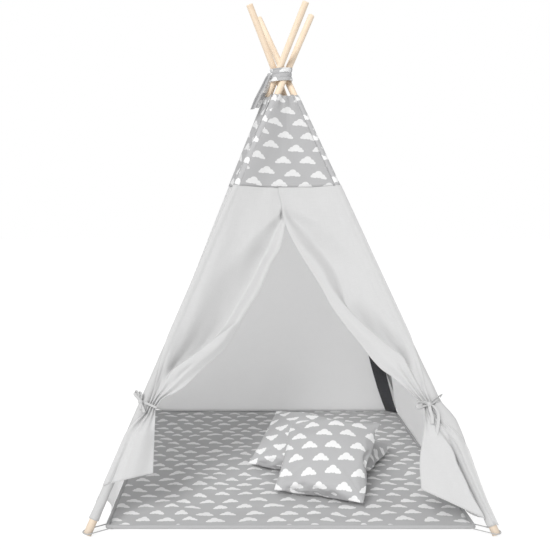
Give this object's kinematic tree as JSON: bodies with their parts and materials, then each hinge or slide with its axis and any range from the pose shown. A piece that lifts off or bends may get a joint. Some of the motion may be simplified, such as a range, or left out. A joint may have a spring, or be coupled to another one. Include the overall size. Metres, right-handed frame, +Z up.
{
  "type": "kids teepee",
  "caption": "Square play tent for a child: poles lashed where they cross, a cotton cover with a cloud-print crown, tied-back door curtains, a padded floor mat and loose cushions.",
  "frame": {"origin": "on the floor, under the point where the poles cross", "axes": "+Z up, the door faces -Y, +X to the right of someone looking in at the door"},
  "size_m": [1.214, 1.214, 1.6754],
  "materials": {
    "pine": "smooth unvarnished pine",
    "printed_cotton": "matt grey cotton with a small white cloud print",
    "plain_cotton": "matt light grey cotton",
    "dark_tape": "matt charcoal tape",
    "elastic": "white covered elastic"
  },
  "bodies": {
    "floor": {"mat": "printed_cotton", "mat_border": "printed_cotton", "corner_loop_front_left": "elastic", "corner_loop_front_right": "elastic", "corner_loop_back_right": "elastic", "corner_loop_back_left": "elastic"},
    "head": {"lash_band": "printed_cotton", "lash_tail": "printed_cotton"},
    "leg_front_left": {"pole_front_left": "pine", "crown_sleeve_front_left": "printed_cotton", "sleeve_front_left": "plain_cotton", "tie_band_left": "plain_cotton", "tie_bow_left": "plain_cotton"},
    "leg_front_right": {"pole_front_right": "pine", "crown_sleeve_front_right": "printed_cotton", "sleeve_front_right": "plain_cotton", "tie_band_right": "plain_cotton", "tie_bow_right": "plain_cotton"},
    "leg_back_right": {"pole_back_right": "pine", "crown_sleeve_back_right": "printed_cotton", "sleeve_back_right": "plain_cotton", "corner_tape_back_right": "dark_tape"},
    "leg_back_left": {"pole_back_left": "pine", "crown_sleeve_back_left": "printed_cotton", "sleeve_back_left": "plain_cotton", "corner_tape_back_left": "dark_tape"},
    "face_front": {"crown_front": "printed_cotton", "door_left": "plain_cotton", "door_right": "plain_cotton"},
    "face_back": {"crown_back": "printed_cotton", "panel_back": "plain_cotton"},
    "face_left": {"crown_left": "printed_cotton", "panel_left": "plain_cotton"},
    "face_right": {"crown_right": "printed_cotton", "panel_right": "plain_cotton"},
    "loose_cushion_front": {"cushion_front": "printed_cotton"},
    "loose_cushion_left": {"cushion_left": "printed_cotton"},
    "loose_cushion_right": {"cushion_right": "printed_cotton"}
  },
  "joints": [
    {"name": "lift", "type": "slide", "parent": "floor", "child": "head", "axis": [0, 0, 1], "range_m": [0, 0.84]},
    {"name": "fold_front_left", "type": "hinge", "parent": "head", "child": "leg_front_left", "pos_m": [0.01626, -0.01626, 1.43], "axis": [0.6875, -0.7262, 0], "range_deg": [0, 30], "deforming": ["tie_band_left", "tie_bow_left"]},
    {"name": "fold_front_right", "type": "hinge", "parent": "head", "child": "leg_front_right", "pos_m": [0.01626, 0.01626, 1.43], "axis": [0.7262, 0.6875, 0], "range_deg": [0, 30], "deforming": ["tie_band_right", "tie_bow_right"]},
    {"name": "fold_back_right", "type": "hinge", "parent": "head", "child": "leg_back_right", "pos_m": [-0.01626, 0.01626, 1.43], "axis": [-0.6875, 0.7262, 0], "range_deg": [0, 30]},
    {"name": "fold_back_left", "type": "hinge", "parent": "head", "child": "leg_back_left", "pos_m": [-0.01626, -0.01626, 1.43], "axis": [-0.7262, -0.6875, 0], "range_deg": [0, 30]},
    {"name": "fold_face_front", "type": "hinge", "parent": "head", "child": "face_front", "pos_m": [0, 0, 1.43], "axis": [1, 0, 0], "range_deg": [0, 22.4], "deforming": ["crown_front", "door_left", "door_right"]},
    {"name": "fold_face_back", "type": "hinge", "parent": "head", "child": "face_back", "pos_m": [0, 0, 1.43], "axis": [-1, 0, 0], "range_deg": [0, 22.4], "deforming": ["crown_back", "panel_back"]},
    {"name": "fold_face_left", "type": "hinge", "parent": "head", "child": "face_left", "pos_m": [0, 0, 1.43], "axis": [0, -1, 0], "range_deg": [0, 22.4], "deforming": ["crown_left", "panel_left"]},
    {"name": "fold_face_right", "type": "hinge", "parent": "head", "child": "face_right", "pos_m": [0, 0, 1.43], "axis": [0, 1, 0], "range_deg": [0, 22.4], "deforming": ["crown_right", "panel_right"]},
    {"name": "slide_cushion_front", "type": "slide", "parent": "floor", "child": "loose_cushion_front", "axis": [0, -1, 0], "range_m": [0, 0.9]},
    {"name": "slide_cushion_left", "type": "slide", "parent": "floor", "child": "loose_cushion_left", "axis": [-0.9074, 0.4202, 0], "range_m": [0, 0.26]},
    {"name": "slide_cushion_right", "type": "slide", "parent": "floor", "child": "loose_cushion_right", "axis": [0, 1, 0], "range_m": [0, 0.26]}
  ],
  "couplings": [
    {"joint": "lift", "follows": "fold_front_left", "m_per_rad": 1.6},
    {"joint": "fold_front_right", "follows": "fold_front_left", "ratio": 1},
    {"joint": "fold_back_right", "follows": "fold_front_left", "ratio": 1},
    {"joint": "fold_back_left", "follows": "fold_front_left", "ratio": 1},
    {"joint": "fold_face_front", "follows": "fold_front_left", "ratio": 0.7411},
    {"joint": "fold_face_back", "follows": "fold_front_left", "ratio": 0.7411},
    {"joint": "fold_face_left", "follows": "fold_front_left", "ratio": 0.7411},
    {"joint": "fold_face_right", "follows": "fold_front_left", "ratio": 0.7411}
  ]
}
